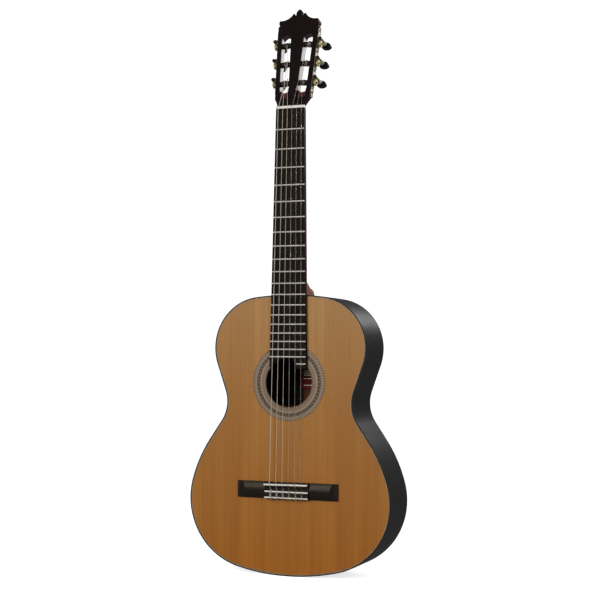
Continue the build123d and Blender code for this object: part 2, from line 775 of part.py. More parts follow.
def make_worm(z):
    """A single-start thread on an axle that runs in both ears and back to the button."""
    thread_from = EAR_DEPTHS[0][1] + 0.15
    thread_to = EAR_DEPTHS[1][0] - 0.15
    up = z + WORM_ABOVE
    front = EAR_DEPTHS[0][0] - 0.1
    axle = rod((WORM_OUT, front - 1, up), (WORM_OUT, BUTTON_DEPTH - 4.0, up), WORM_AXLE_R)
    axle += rod((WORM_OUT, front - COLLAR[1], up), (WORM_OUT, front, up), COLLAR[0])
    axle += rod((WORM_OUT, EAR_DEPTHS[1][1] + 0.1, up), (WORM_OUT, EAR_DEPTHS[1][1] + 1.6, up), 2.6)
    return axle + make_thread(up, thread_from, thread_to)


def make_thread(up, start, end):
    """The helical ridge, cut off square at both ends and placed to sit between two teeth."""
    turns = 6
    length = turns * WORM_PITCH
    helix = Helix(pitch=WORM_PITCH, height=length, radius=WORM_THREAD_ROOT)
    root = WORM_THREAD_ROOT - 0.4
    profile = Polyline(
        (root, -0.62), (root, 0.62), (WORM_THREAD_TIP, 0.22), (WORM_THREAD_TIP, -0.22), close=True
    )
    ridge = sweep(Plane.XZ * make_face(profile), path=helix, is_frenet=True)
    # The ridge starts on +x at height 0. Turned to face the gear, whole turns leave it in place.
    ridge = Pos(0, 0, -3 * WORM_PITCH) * ridge
    ridge = Plane(origin=(WORM_OUT, ROLLER_DEPTH, up), x_dir=(0, 0, -1), z_dir=(0, -1, 0)) * ridge
    return ridge & box((WORM_OUT - 5, WORM_OUT + 5), (start, end), (up - 5, up + 5))


def make_button(z):
    """An oval grip on the end of the worm's axle."""
    up = z + WORM_ABOVE
    wide, tall, long = BUTTON
    plane = Plane(origin=(WORM_OUT, BUTTON_DEPTH - long / 2, up), x_dir=(1, 0, 0), z_dir=(0, 1, 0))
    grip = extrude(plane * Ellipse(wide / 2, tall / 2), long)
    rims = grip.edges().group_by(Axis.Y)
    grip = fillet(rims[0] + rims[-1], BUTTON_ROUND)
    neck = rod((WORM_OUT, BUTTON_DEPTH - long / 2 - 3.5, up), (WORM_OUT, BUTTON_DEPTH, up), 3.0)
    socket = rod((WORM_OUT, 0, up), (WORM_OUT, BUTTON_DEPTH - 4.0, up), WORM_AXLE_R)
    return grip + neck - socket


# ---- all the pieces ----
def make_all():
    strings = [make_string(number) for number in range(6)]
    parts = {
        "soundboard": make_soundboard(),
        "rosette": make_rosette(),
        "back_plate": slab(region(SIDE), INNER_BACK, BACK),
        "side_bass": make_side(-1),
        "side_treble": make_side(1),
        "neck_block": make_neck_block(),
        "tail_block": make_tail_block(),
        "top_linings": make_linings(INNER_FACE, INNER_FACE + LINING_HEIGHT),
        "back_linings": make_linings(INNER_BACK - LINING_HEIGHT, INNER_BACK),
        "fan_braces": make_fan_braces(),
        "harmonic_bars": make_harmonic_bars(),
        "bridge_patch": make_bridge_patch(),
        "back_braces": make_back_braces(),
        "back_strip": make_back_strip(),
        "label": make_label(),
        "bindings": make_bindings(),
        "purfling": make_purfling(),
        "bridge": make_bridge(),
        "saddle": make_saddle(strings),
        "tie_block_inlays": inlay_blocks(),
        "neck": make_neck(),
        "heel_cap": make_heel_cap(),
        "fingerboard": make_fingerboard(),
        "frets": make_frets(),
        "nut": make_nut(strings),
        "headstock": make_head(VENEER, HEAD_THICK, True),
        "head_veneer": make_head(0.0, VENEER, False),
        "tuner_plate_treble": in_place(make_plate(), 1),
        "tuner_plate_bass": in_place(make_plate(), -1),
        "plate_screws": make_plate_screws(),
    }
    for number in range(6):
        name = number + 1
        sign = 1 if number < 3 else -1
        z = roller_height(number) - FIRST_ROLLER
        parts[f"string_{name}"] = strings[number]
        parts[f"roller_{name}"] = in_place(make_roller(z), sign)
        parts[f"gear_{name}"] = [in_place(piece, sign) for piece in make_gear(z)]
        parts[f"worm_{name}"] = in_place(make_worm(z), sign)
        parts[f"button_{name}"] = in_place(make_button(z), sign)
    return parts


def write_parts():
    os.makedirs("parts", exist_ok=True)
    for name, part in make_all().items():
        solids = part if isinstance(part, list) else list(part.solids())
        shape = Compound(children=solids) if len(solids) > 1 else solids[0]
        export_step(shape, f"parts/{name}.step")
        print(name, len(solids), round(sum(s.volume for s in solids), 2))


write_parts()
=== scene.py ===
import json
import math

import bmesh
import bpy
from mathutils import Matrix, Vector


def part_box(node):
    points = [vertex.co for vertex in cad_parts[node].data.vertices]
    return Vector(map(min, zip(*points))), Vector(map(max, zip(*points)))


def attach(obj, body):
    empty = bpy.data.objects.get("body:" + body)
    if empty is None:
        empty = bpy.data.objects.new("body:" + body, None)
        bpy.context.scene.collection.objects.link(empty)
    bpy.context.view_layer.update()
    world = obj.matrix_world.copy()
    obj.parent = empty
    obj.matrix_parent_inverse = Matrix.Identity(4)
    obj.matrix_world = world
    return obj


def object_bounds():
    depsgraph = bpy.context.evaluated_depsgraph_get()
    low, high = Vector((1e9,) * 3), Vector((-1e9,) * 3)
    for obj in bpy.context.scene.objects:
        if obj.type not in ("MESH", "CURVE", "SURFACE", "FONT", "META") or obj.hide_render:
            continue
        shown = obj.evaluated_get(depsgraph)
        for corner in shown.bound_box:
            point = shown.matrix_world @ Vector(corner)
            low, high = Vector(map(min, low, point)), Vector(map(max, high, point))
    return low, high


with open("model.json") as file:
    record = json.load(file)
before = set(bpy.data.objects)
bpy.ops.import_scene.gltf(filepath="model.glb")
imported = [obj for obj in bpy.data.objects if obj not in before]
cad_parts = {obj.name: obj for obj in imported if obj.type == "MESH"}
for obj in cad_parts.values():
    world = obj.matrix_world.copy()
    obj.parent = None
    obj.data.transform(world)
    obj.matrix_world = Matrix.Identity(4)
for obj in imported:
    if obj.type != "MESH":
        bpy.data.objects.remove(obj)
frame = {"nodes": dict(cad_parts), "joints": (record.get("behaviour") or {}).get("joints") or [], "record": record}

# A classical guitar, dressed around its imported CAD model. Metres, the face towards -Y, the neck up.

cad_low, cad_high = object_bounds()
MM = 0.001
SCALE = 650 * MM
FRET_12 = -SCALE / 2
hole_low, hole_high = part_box("rosette")
HOLE = (hole_low + hole_high) / 2


def srgb(red, green, blue):
    """A colour given as 0 to 255, as linear light."""
    values = [channel / 255 for channel in (red, green, blue)]
    linear = [v / 12.92 if v <= 0.04045 else ((v + 0.055) / 1.055) ** 2.4 for v in values]
    return (*linear, 1.0)


def grey(value):
    return (value, value, value, 1.0)


# ---- camera ----
def make_camera():
    """A long lens on the treble side, a little below the middle of the guitar and tipped up."""
    place = Vector((0.8409, -2.1235, FRET_12 - 0.1121))
    yaw = math.radians(21.09)
    pitch = math.radians(2.572)
    roll = math.radians(0.535)
    ahead = Vector((-math.sin(yaw) * math.cos(pitch), math.cos(yaw) * math.cos(pitch), math.sin(pitch)))
    right = ahead.cross(Vector((0, 0, 1))).normalized()
    up = right.cross(ahead)
    rolled_right = right * math.cos(roll) + up * math.sin(roll)
    rolled_up = up * math.cos(roll) - right * math.sin(roll)
    data = bpy.data.cameras.new("camera")
    data.sensor_width = 36
    data.lens = 79.18
    camera = bpy.data.objects.new("camera", data)
    bpy.context.scene.collection.objects.link(camera)
    turn = Matrix((rolled_right, rolled_up, -ahead)).transposed().to_4x4()
    camera.matrix_world = Matrix.Translation(place) @ turn
    bpy.context.scene.camera = camera


make_camera()


# ---- material helpers ----
class Nodes:
    """A short way to write a material's node tree."""

    def __init__(self, name):
        self.material = bpy.data.materials.new(name)
        self.material.use_nodes = True
        self.tree = self.material.node_tree
        self.shader = self.tree.nodes["Principled BSDF"]
        self.place = self.add("ShaderNodeTexCoord").outputs["Object"]

    def add(self, kind, **settings):
        node = self.tree.nodes.new(kind)
        for key, value in settings.items():
            setattr(node, key, value)
        return node

    def link(self, source, target):
        self.tree.links.new(source, target)

    def feed(self, socket, value):
        if isinstance(value, bpy.types.NodeSocket):
            self.link(value, socket)
        else:
            socket.default_value = value

    def set(self, **values):
        names = {
            "rough": "Roughness", "metal": "Metallic", "coat": "Coat Weight", "coat_rough": "Coat Roughness",
            "ior": "IOR", "through": "Transmission Weight", "specular": "Specular IOR Level",
            "tint": "Specular Tint", "color": "Base Color",
        }
        for key, value in values.items():
            self.feed(self.shader.inputs[names[key]], value)
        return self

    def math(self, operation, first, second=None):
        node = self.add("ShaderNodeMath", operation=operation)
        self.feed(node.inputs[0], first)
        if second is not None:
            self.feed(node.inputs[1], second)
        return node.outputs[0]

    def axes(self, vector):
        node = self.add("ShaderNodeSeparateXYZ")
        self.link(vector, node.inputs[0])
        return node.outputs

    def stretch(self, scale, vector=None):
        node = self.add("ShaderNodeMapping")
        self.link(vector or self.place, node.inputs["Vector"])
        node.inputs["Scale"].default_value = scale
        return node.outputs[0]

    def noise(self, vector, detail=4.0, rough=0.55, twist=0.0):
        node = self.add("ShaderNodeTexNoise")
        self.link(vector, node.inputs["Vector"])
        for key, number in (("Scale", 1.0), ("Detail", detail), ("Roughness", rough), ("Distortion", twist)):
            node.inputs[key].default_value = number
        return node.outputs["Fac"]

    def ramp(self, factor, stops, sharp=False):
        node = self.add("ShaderNodeValToRGB")
        self.link(factor, node.inputs["Fac"])
        band = node.color_ramp
        band.interpolation = "CONSTANT" if sharp else "LINEAR"
        while len(band.elements) < len(stops):
            band.elements.new(0.5)
        for element, (at, color) in zip(band.elements, stops):
            element.position = at
            element.color = color
        return node.outputs["Color"]

    def mix(self, factor, first, second, how="MIX"):
        node = self.add("ShaderNodeMix", data_type="RGBA", blend_type=how)
        self.feed(node.inputs["Factor"], factor)
        self.feed(node.inputs[6], first)
        self.feed(node.inputs[7], second)
        return node.outputs[2]

    def spread(self, value, low, high, new_low, new_high):
        node = self.add("ShaderNodeMapRange")
        self.link(value, node.inputs["Value"])
        for key, number in (("From Min", low), ("From Max", high), ("To Min", new_low), ("To Max", new_high)):
            node.inputs[key].default_value = number
        return node.outputs["Result"]

    def bump(self, height, strength, distance):
        node = self.add("ShaderNodeBump")
        self.link(height, node.inputs["Height"])
        node.inputs["Strength"].default_value = strength
        node.inputs["Distance"].default_value = distance
        self.link(node.outputs["Normal"], self.shader.inputs["Normal"])
        return self


# ---- materials ----
CEDAR_DARK = (151, 108, 53)
CEDAR_LIGHT = (167, 125, 66)
CEDAR_TAIL_SHADE = (255, 219, 138)      # painted shade: how much darker and warmer the top is painted towards the tail
# heights where the top's painted shade is full and where it has faded out
CEDAR_SHADE_HEIGHTS = (-0.80, -0.36)
HEAD_TILT = math.radians(12)
COLLAR_DEPTH = 5.7 * MM           # square to the head, from the nut: where a worm's front collar ends
SLOT_REACH = 30.5 * MM            # how far the slots reach from the middle of the head
SLOT_DEPTH = 19.8 * MM            # just short of the head's back
SLOT_ENDS = (22 * MM, 148 * MM)   # heights that lie between the head's flare and the slots' top
HOLE_EDGE = 45.4 * MM             # the cut edge of the soundhole shows inside this radius
SEAM_HALF = 0.18 * MM             # half the width of the top's centre seam
ROSETTE_SPAN = (45.5 * MM, 67 * MM)
ROSETTE_EDGE = 0.89               # where the toothed outer ring starts
# The rosette's rings, from the hole outwards: where each starts, as a share of its width, and its colour.
ROSETTE_RINGS = [
    (0.0, (132, 111, 92)), (0.09, (84, 69, 54)), (0.11, (127, 106, 83)), (0.19, (92, 77, 60)),
    (0.21, (146, 124, 104)), (0.37, (66, 53, 42)), (0.39, (110, 90, 71)), (0.61, (62, 49, 38)),
    (0.64, (137, 120, 101)), (0.78, (98, 81, 62)), (0.80, (134, 113, 90)), (ROSETTE_EDGE, (162, 138, 106)),
    (0.965, (134, 108, 80)),
]
ROSETTE_MIDDLE = (0.42, 0.58)
ROSETTE_TEETH = [(0.37, 0.42), (0.57, 0.63)]        # where small teeth edge the middle ring
TILES_AROUND = 56.0
TEETH_AROUND = 92.0
# The label's plain rules: height, start and end as shares of its size.
LABEL_RULES = [
    (0.84, 0.35, 0.70), (0.66, 0.36, 0.62), (0.58, 0.35, 0.66),
    (0.50, 0.37, 0.62), (0.37, 0.35, 0.90), (0.12, 0.36, 0.84),
]
LABEL_RULE_HALF = 0.016           # half a rule's height, as a share of the label's
LABEL_SHADOW_SHARE = 0.31                 # the share of the label's width, on the bass side, painted near-black as a shadow
WIRE_PITCH = 0.3 * MM             # between two ridges of a wound string
PORE_BUMP = 0.15
MOTTLE_WIDE = 0.7                 # millimetres
MOTTLE_DEEP = 0.12                # how much lighter and darker the mottling gets, as a share
MARK_WIDE = 0.5                   # millimetres, for the handling marks on metal


def wood(name, dark, light, along="Z", width=1.2, length=90.0, rough=0.4, specular=0.5):
    """Straight-grained wood: streaks of a width and length in millimetres along one axis, and pores."""
    nodes = Nodes(name)
    wide, long = 1000 / width, 1000 / length
    scale = {"X": (long, wide, wide), "Y": (wide, long, wide), "Z": (wide, wide, long)}[along]
    streaks = nodes.noise(nodes.stretch(scale), detail=5, rough=0.6, twist=0.15)
    broad = nodes.noise(nodes.stretch(tuple(s * 0.12 for s in scale)), detail=2)
    pores = nodes.noise(nodes.stretch(tuple(s * 2.6 for s in scale)), detail=2)
    factor = nodes.math("ADD", nodes.math("MULTIPLY", streaks, 0.62), nodes.math("MULTIPLY", broad, 0.38))
    color = nodes.ramp(factor, [(0.36, dark), (0.62, light)])
    tone = nodes.ramp(pores, [(0.36, grey(0.72)), (0.46, grey(1.0))])
    color = nodes.mix(1.0, color, tone, "MULTIPLY")
    nodes.set(color=color, specular=specular)
    nodes.set(rough=nodes.spread(streaks, 0.3, 0.7, rough + 0.06, rough - 0.05))
    return nodes.bump(pores, PORE_BUMP, 0.0002)


def head_depth(nodes):
    """How far behind the tilted head's own face plane a place lies."""
    _, y, z = nodes.axes(nodes.place)
    tilted = nodes.math("MULTIPLY", y, math.cos(HEAD_TILT))
    return nodes.math("SUBTRACT", tilted, nodes.math("MULTIPLY", z, math.sin(HEAD_TILT)))


def head_wood():
    """Dark reddish mahogany: satin outside, and glossy inside the two slots."""
    nodes = wood("head_mahogany", srgb(44, 15, 15), srgb(84, 36, 34), width=1.0, length=40, rough=0.42)
    x, _, z = nodes.axes(nodes.place)
    inside = nodes.math("LESS_THAN", nodes.math("ABSOLUTE", x), SLOT_REACH)
    inside = nodes.math("MULTIPLY", inside, nodes.math("LESS_THAN", head_depth(nodes), SLOT_DEPTH))
    for limit, test in zip(SLOT_ENDS, ("GREATER_THAN", "LESS_THAN")):
        inside = nodes.math("MULTIPLY", inside, nodes.math(test, z, limit))
    nodes.set(specular=nodes.spread(inside, 0.0, 1.0, 0.15, 1.0))
    nodes.set(rough=nodes.spread(inside, 0.0, 1.0, 0.55, 0.3))
    return nodes


def from_hole(nodes):
    """The place on the surface, from the middle of the soundhole."""
    offset = nodes.add("ShaderNodeVectorMath", operation="SUBTRACT")
    nodes.link(nodes.place, offset.inputs[0])
    offset.inputs[1].default_value = HOLE
    return nodes.axes(offset.outputs[0])


def hole_radius(nodes):
    x, _, z = from_hole(nodes)
    squares = nodes.math("ADD", nodes.math("MULTIPLY", x, x), nodes.math("MULTIPLY", z, z))
    return nodes.math("SQRT", squares)


def cedar_top():
    """A bookmatched lacquered top: faint straight year rings, mirrored at the centre seam, with painted shade
    towards the tail.
    """
    nodes = Nodes("cedar_top")
    x, _, z = nodes.axes(nodes.place)
    mirrored = nodes.add("ShaderNodeCombineXYZ")
    nodes.link(nodes.math("ABSOLUTE", x), mirrored.inputs["X"])
    nodes.link(z, mirrored.inputs["Z"])
    flat = mirrored.outputs[0]
    rings = nodes.noise(nodes.stretch((560, 1, 1.6), flat), detail=3, rough=0.5)
    fibres = nodes.noise(nodes.stretch((2400, 1, 20), flat), detail=3, rough=0.6)
    bands = nodes.noise(nodes.stretch((26, 1, 0.9), flat), detail=2, rough=0.5)
    clouds = nodes.noise(nodes.stretch((6, 1, 4), flat), detail=3, rough=0.5)
    silk = nodes.noise(nodes.stretch((60, 1, 240), flat), detail=2)
    base = nodes.ramp(bands, [(0.32, srgb(*CEDAR_DARK)), (0.68, srgb(*CEDAR_LIGHT))])
    late = nodes.ramp(rings, [(0.40, srgb(222, 204, 182)), (0.54, grey(1.0))])
    base = nodes.mix(0.5, base, late, "MULTIPLY")
    fine = nodes.ramp(fibres, [(0.32, grey(0.88)), (0.55, grey(1.0))])
    base = nodes.mix(0.5, base, fine, "MULTIPLY")
    warm = nodes.ramp(clouds, [(0.35, srgb(248, 236, 220)), (0.65, grey(1.0))])
    base = nodes.mix(0.7, base, warm, "MULTIPLY")
    shimmer = nodes.ramp(silk, [(0.45, grey(0.97)), (0.60, grey(1.0))])
    base = nodes.mix(1.0, base, shimmer, "MULTIPLY")
    # painted shade: the top is darkened and warmed towards the tail, as the light falls off there
    low = nodes.spread(z, CEDAR_SHADE_HEIGHTS[0], CEDAR_SHADE_HEIGHTS[1], 1.0, 0.0)
    base = nodes.mix(low, base, nodes.mix(1.0, base, srgb(*CEDAR_TAIL_SHADE), "MULTIPLY"))
    seam = nodes.math("LESS_THAN", nodes.math("ABSOLUTE", x), SEAM_HALF)
    base = nodes.mix(nodes.math("MULTIPLY", seam, 0.25), base, srgb(92, 56, 26))
    cut_edge = nodes.math("LESS_THAN", hole_radius(nodes), HOLE_EDGE)
    base = nodes.mix(cut_edge, base, srgb(100, 80, 62))
    nodes.set(color=base, rough=0.42, coat=0.3, coat_rough=0.2)
    return nodes.bump(rings, 0.05, 0.0001)


def rosette_mosaic():
    """Concentric rings about the soundhole, filled with small end-grain tiles."""
    nodes = Nodes("rosette_mosaic")
    radius = hole_radius(nodes)
    x, _, z = from_hole(nodes)
    angle = nodes.math("ARCTAN2", z, x)
    place = nodes.spread(radius, *ROSETTE_SPAN, 0.0, 1.0)
    rings = nodes.ramp(place, [(at, srgb(*color)) for at, color in ROSETTE_RINGS], sharp=True)
    around = nodes.math("SINE", nodes.math("MULTIPLY", angle, TILES_AROUND))
    uneven = nodes.noise(nodes.stretch((260, 260, 260)), detail=2)
    wave = nodes.math("MULTIPLY", around, 0.3)
    tiles = nodes.math("GREATER_THAN", wave, nodes.math("SUBTRACT", uneven, 0.5))
    middle = nodes.math("GREATER_THAN", place, ROSETTE_MIDDLE[0])
    middle = nodes.math("MULTIPLY", middle, nodes.math("LESS_THAN", place, ROSETTE_MIDDLE[1]))
    mosaic = nodes.ramp(tiles, [(0.0, grey(0.30)), (1.0, grey(1.0))])
    mosaic = nodes.mix(middle, grey(1.0), mosaic)
    teeth = nodes.math("GREATER_THAN", nodes.math("SINE", nodes.math("MULTIPLY", angle, TEETH_AROUND)), 0.0)
    edging = nodes.ramp(teeth, [(0.0, grey(0.05)), (1.0, grey(1.0))])
    toothed = nodes.math("GREATER_THAN", place, ROSETTE_EDGE)
    for start, end in ROSETTE_TEETH:
        begun = nodes.math("GREATER_THAN", place, start)
        within = nodes.math("MULTIPLY", begun, nodes.math("LESS_THAN", place, end))
        toothed = nodes.math("MAXIMUM", toothed, within)
    pattern = nodes.mix(toothed, mosaic, edging)
    color = nodes.mix(1.0, rings, pattern, "MULTIPLY")
    speckle = nodes.noise(nodes.stretch((700, 700, 700)), detail=2)
    color = nodes.mix(0.5, color, nodes.ramp(speckle, [(0.3, grey(0.6)), (0.7, grey(1.0))]), "MULTIPLY")
    nodes.set(color=color, rough=0.42, coat=0.2, coat_rough=0.2)
    return nodes.bump(tiles, 0.05, 0.00005)


def dark_lacquer():
    """Near-black satin sides and back with the grain just showing."""
    nodes = Nodes("dark_lacquer")
    grain = nodes.noise(nodes.stretch((240, 240, 9)), detail=5, rough=0.6, twist=0.3)
    pores = nodes.noise(nodes.stretch((1400, 1400, 60)), detail=2)
    color = nodes.ramp(grain, [(0.35, srgb(17, 16, 15)), (0.68, srgb(29, 27, 26))])
    nodes.set(color=color, specular=0.24)
    nodes.set(rough=nodes.spread(grain, 0.3, 0.7, 0.44, 0.36))
    return nodes.bump(pores, 0.06, 0.0001)


def plain(name, color, rough, **values):
    """A moulded or polished surface: faint mottling of the colour and of the roughness."""
    nodes = Nodes(name)
    size = 1000 / MOTTLE_WIDE
    spots = nodes.noise(nodes.stretch((size, size, size)), detail=3)
    dim = tuple(channel * (1 - MOTTLE_DEEP) for channel in color[:3]) + (1.0,)
    lift = tuple(min(1.0, channel * (1 + MOTTLE_DEEP)) for channel in color[:3]) + (1.0,)
    nodes.set(color=nodes.ramp(spots, [(0.35, dim), (0.65, lift)]), **values)
    nodes.set(rough=nodes.spread(spots, 0.3, 0.7, rough * 1.12, rough * 0.88))
    return nodes.bump(spots, 0.05, 0.00005)


def bone():
    """Off-white bone with fine flecks along it."""
    nodes = Nodes("bone")
    flecks = nodes.noise(nodes.stretch((160, 900, 900)), detail=4, rough=0.6)
    color = nodes.ramp(flecks, [(0.34, srgb(196, 190, 180)), (0.6, srgb(226, 221, 212))])
    nodes.set(color=color, rough=0.3, specular=0.4)
    return nodes.bump(flecks, 0.05, 0.00005)


def engraved_brass():
    """Polished plate brass, softly tarnished, with a scrolling engraved line."""
    nodes = Nodes("engraved_brass")
    tarnish = nodes.noise(nodes.stretch((180, 180, 180)), detail=5)
    cells = nodes.add("ShaderNodeTexVoronoi", feature="F1")
    nodes.link(nodes.stretch((150, 150, 150)), cells.inputs["Vector"])
    rings = nodes.math("SINE", nodes.math("MULTIPLY", cells.outputs["Distance"], 22.0))
    cut = nodes.ramp(rings, [(0.0, grey(0.0)), (0.35, grey(1.0))])
    color = nodes.ramp(tarnish, [(0.34, srgb(140, 122, 96)), (0.66, srgb(196, 182, 158))])
    color = nodes.mix(0.8, color, nodes.mix(1.0, color, cut, "MULTIPLY"))
    nodes.set(color=color, metal=0.7)
    nodes.set(rough=nodes.spread(tarnish, 0.3, 0.7, 0.4, 0.28))
    return nodes.bump(cut, 0.3, 0.0001)


def metal(name, dull, bright, rough, share=1.0):
    """Bare metal with fine handling marks."""
    nodes = Nodes(name)
    marks = nodes.noise(nodes.stretch((1000 / MARK_WIDE, 1000 / MARK_WIDE, 300)), detail=4)
    nodes.set(color=nodes.ramp(marks, [(0.35, dull), (0.65, bright)]), metal=share)
    nodes.set(rough=nodes.spread(marks, 0.3, 0.7, rough + 0.08, rough - 0.06))
    return nodes.bump(marks, 0.05, 0.00005)


def wound_string():
    """Silver-plated wire wound round a core: evenly spaced ridges along the string."""
    nodes = Nodes("wound_string")
    x, _, z = nodes.axes(nodes.place)
    height = nodes.math("ADD", z, nodes.math("MULTIPLY", x, 0.35))
    ridges = nodes.math("SINE", nodes.math("MULTIPLY", height, 2 * math.pi / WIRE_PITCH))
    nodes.set(color=nodes.ramp(ridges, [(0.0, srgb(176, 164, 148)), (0.7, srgb(250, 242, 230))]), metal=0.35)
    nodes.set(rough=0.4)
    return nodes.bump(ridges, 0.4, 0.00006)


def clear_nylon():
    """Clear monofilament, a little cloudy."""
    nodes = Nodes("clear_nylon")
    haze = nodes.noise(nodes.stretch((900, 900, 40)), detail=3)
    nodes.set(color=nodes.ramp(haze, [(0.3, srgb(196, 184, 166)), (0.7, srgb(226, 216, 202))]))
    nodes.set(rough=0.25, through=0.85, ior=1.4)
    return nodes.bump(haze, 0.03, 0.00003)


def worm_steel():
    """A worm's brass thread and axle, with a black enamelled collar at the front."""
    nodes = Nodes("worm_steel")
    depth = head_depth(nodes)
    marks = nodes.noise(nodes.stretch((900, 900, 900)), detail=3)
    brass = nodes.ramp(marks, [(0.35, srgb(150, 138, 92)), (0.65, srgb(196, 184, 134))])
    black = nodes.ramp(marks, [(0.35, srgb(20, 19, 19)), (0.65, srgb(30, 28, 28))])
    behind = nodes.math("GREATER_THAN", depth, COLLAR_DEPTH)
    nodes.set(color=nodes.mix(behind, black, brass), metal=nodes.math("MULTIPLY", behind, 0.6), rough=0.34)
    return nodes.bump(marks, 0.05, 0.00005)


def paper_label():
    """A blank maroon paper label with short pale rules on its treble half, no lettering, and a painted shadow over
    its bass side.
    """
    nodes = Nodes("paper_label")
    low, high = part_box("label")
    x, _, z = nodes.axes(nodes.place)
    across = nodes.spread(x, low.x, high.x, 0.0, 1.0)
    upwards = nodes.spread(z, low.z, high.z, 0.0, 1.0)
    ink = None
    for height, start, end in LABEL_RULES:
        away = nodes.math("ABSOLUTE", nodes.math("SUBTRACT", upwards, height))
        near = nodes.math("LESS_THAN", away, LABEL_RULE_HALF)
        begun = nodes.math("GREATER_THAN", across, start)
        going = nodes.math("LESS_THAN", across, end)
        rule = nodes.math("MULTIPLY", near, nodes.math("MULTIPLY", begun, going))
        ink = rule if ink is None else nodes.math("MAXIMUM", ink, rule)
    fibres = nodes.noise(nodes.stretch((600, 600, 600)), detail=4)
    paper = nodes.ramp(fibres, [(0.3, srgb(96, 30, 34)), (0.7, srgb(124, 42, 46))])
    # painted shadow: the near-black paper laid over the bass side of the label
    dark = nodes.ramp(fibres, [(0.3, srgb(20, 14, 14)), (0.7, srgb(30, 20, 20))])
    band = nodes.math("LESS_THAN", across, LABEL_SHADOW_SHARE)
    paper = nodes.mix(band, paper, dark)
    nodes.set(color=nodes.mix(ink, paper, srgb(236, 226, 212)), rough=0.75, specular=0.3)
    return nodes.bump(fibres, 0.1, 0.00005)


MATERIALS = {
    "cedar_top": cedar_top(),
    "rosette_mosaic": rosette_mosaic(),
    "dark_back_sides": dark_lacquer(),
    # raw wood inside the body: its own tone, darkened further as painted shade of the body's inside
    "raw_wood": wood("raw_wood", srgb(70, 42, 28), srgb(108, 70, 46), width=1.4, rough=0.7, specular=0.3),
    "paper": paper_label(),
    "dark_binding": plain("dark_binding", srgb(26, 23, 21), 0.36, specular=0.35),
    "light_purfling": wood("light_purfling", srgb(104, 88, 72), srgb(150, 130, 108), width=0.6,
                           specular=0.4),
    "dark_hardwood": wood("dark_hardwood", srgb(17, 13, 10), srgb(31, 25, 20), width=0.8, length=60,
                          rough=0.55, specular=0.12),
    "bone": bone(),
    "mahogany": wood("mahogany", srgb(124, 60, 34), srgb(188, 112, 72), width=1.0, length=40, rough=0.42,
                     specular=0.35),
    "head_black": wood("head_black", srgb(18, 13, 13), srgb(29, 20, 20), width=0.9, length=70, rough=0.4,
                       specular=0.08),
    "fret_metal": metal("fret_metal", srgb(206, 200, 192), srgb(240, 235, 228), 0.34, share=0.5),
    "brass": engraved_brass(),
    "brass_screw": metal("brass_screw", srgb(58, 48, 34), srgb(104, 88, 60), 0.36),
    "aged_brass": metal("aged_brass", srgb(168, 156, 104), srgb(214, 202, 152), 0.34, share=0.6),
    "black_steel": worm_steel(),
    "black_roller": plain("black_roller", srgb(22, 20, 20), 0.4, specular=0.3),
    "black_button": plain("black_button", srgb(14, 14, 14), 0.2, specular=0.4),
    "clear_nylon": clear_nylon(),
    "wound_string": wound_string(),
}
FERRULE_METAL = metal("ferrule_metal", srgb(190, 192, 172), srgb(236, 238, 222), 0.3, share=0.5)
HEAD_WOOD = head_wood()
BRIDGE_WOOD = wood("bridge_hardwood", srgb(9, 5, 2), srgb(20, 14, 7), along="X", width=0.8, length=40,
                   rough=0.3, specular=0.75).set(tint=srgb(255, 240, 216))
# The bass strings' coils on the rollers: the wound ends' own dull tone, darkened further as painted shade for
# coils lying in shadow.
COIL_METAL_SHADED = metal("coil_metal_shaded", srgb(64, 58, 50), srgb(112, 104, 92), 0.36, share=0.4)


def dress(piece, nodes):
    piece.data.materials.clear()
    piece.data.materials.append(nodes.material)


for entry in frame["record"]["subparts"]:
    piece = frame["nodes"][entry["node"]]
    dress(piece, MATERIALS[entry["material_slot"]])
dress(frame["nodes"]["bridge"], BRIDGE_WOOD)
dress(frame["nodes"]["headstock"], HEAD_WOOD)


# ---- new pieces ----
JOINTS = {joint["name"]: joint for joint in frame["joints"]}
bridge_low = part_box("bridge")[0].z
bridge_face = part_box("bridge")[1].y
BLOCK_HIGH = 9.0 * MM             # the tie block's top, above the soundboard
BLOCK_LONG = 13.1 * MM            # from the bridge's tail edge to the tie block's front
TAIL_SLICE = 0.5 * MM             # how much of a string's ends is read to find their middles
TIP_SLICE = 1.5 * MM
ROLLER_R = 4.93 * MM
WINDING_TURNS = 4.25
WINDING_STEPS = 26                # points in one turn
WINDING_PITCH = 2.06              # from turn to turn, in string radii
WINDING_GAP = 0.03 * MM           # between a roller and its string
PLATE = 1.2 * MM                  # the tuner plates' thickness
RING_R = 4.4 * MM
RING_WIRE = 0.38 * MM             # a plate ring's own thickness, as a radius
RING_SIDES = 40
WIRE_SIDES = 8
LATHE_SIDES = 28
FERRULE_LENGTH = 6.0 * MM
# A ferrule's turned profile in millimetres: distance towards the button, and radius.
FERRULE = [
    (0.0, 2.2), (0.0, 2.9), (0.7, 3.2), (1.3, 2.9), (1.9, 2.7), (2.6, 3.1),
    (3.6, 4.1), (4.7, 4.5), (5.6, 4.3), (6.6, 3.5), (6.6, 3.1),
]


def new_piece(name, mesh, material, body, slot):
    piece = bpy.data.objects.new(name, mesh)
    bpy.context.scene.collection.objects.link(piece)
    mesh.materials.append(MATERIALS[slot].material if material is None else material)
    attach(piece, body)


def join_loops(mesh, lower, upper):
    """A band of faces between two loops of points."""
    for side in range(len(lower)):
        after = (side + 1) % len(lower)
        mesh.faces.new((lower[side], lower[after], upper[after], upper[side]))


def finish_mesh(mesh, name, degrees):
    """The built mesh, smooth where it is rounded and crisp at edges sharper than the angle."""
    bmesh.ops.recalc_face_normals(mesh, faces=mesh.faces)
    data = bpy.data.meshes.new(name)
    mesh.to_mesh(data)
    mesh.free()
    data.shade_smooth()
    data.set_sharp_from_angle(angle=math.radians(degrees))
    return data


